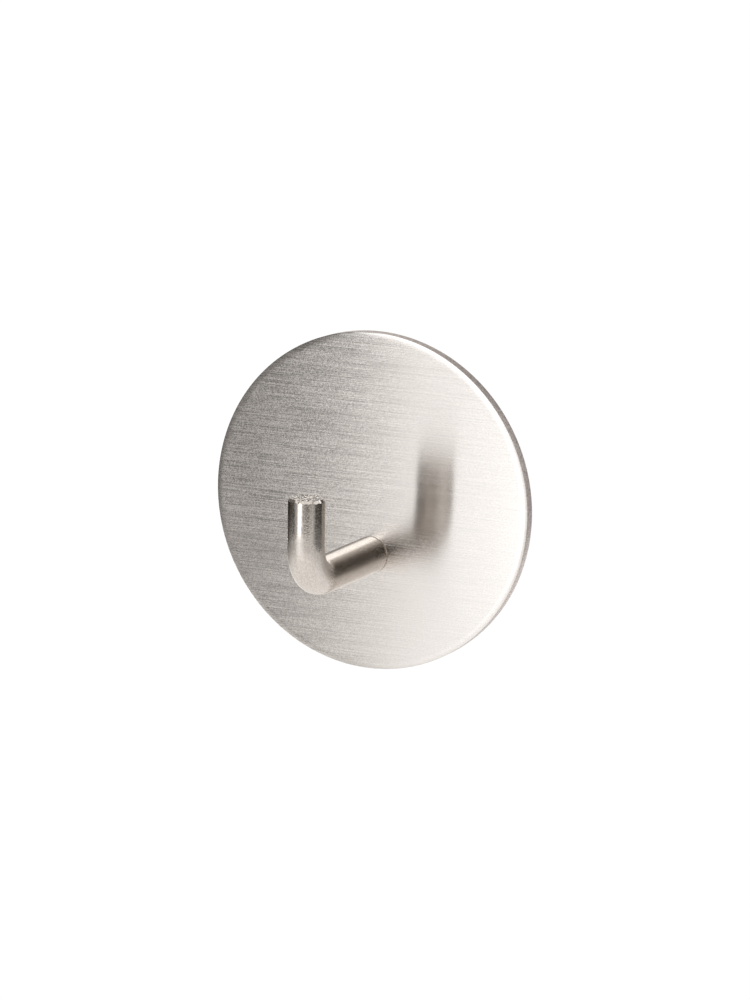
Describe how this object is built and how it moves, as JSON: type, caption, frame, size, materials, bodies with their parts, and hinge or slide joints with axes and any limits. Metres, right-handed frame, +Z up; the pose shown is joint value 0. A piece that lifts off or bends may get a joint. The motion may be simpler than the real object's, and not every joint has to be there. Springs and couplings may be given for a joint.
{
  "type": "adhesive wall hook",
  "caption": "Round brushed steel plate with a bent steel rod as a hook, held to a wall by a foam adhesive pad under a peel-off liner.",
  "frame": {"origin": "centre of the wall-side face, on the release liner", "axes": "+Y into the wall, -Y out along the hook, +Z up, +X to the right as seen from the room"},
  "size_m": [0.055, 0.0301, 0.055],
  "materials": {
    "plate_steel": "satin",
    "rod_steel": "gloss",
    "weld_steel": "matte",
    "adhesive": "gloss",
    "foam": "matte",
    "liner_paper": "satin"
  },
  "bodies": {
    "hook": {"base_plate": "plate_steel", "hook_rod": "rod_steel", "weld_ring": "weld_steel", "plate_adhesive": "adhesive", "foam_core": "foam", "wall_adhesive": "adhesive"},
    "liner": {"release_liner": "liner_paper"}
  },
  "joints": [
    {"name": "liner_peel", "type": "slide", "parent": "hook", "child": "liner", "axis": [0, 1, 0], "range_m": [0, 0.04]}
  ]
}
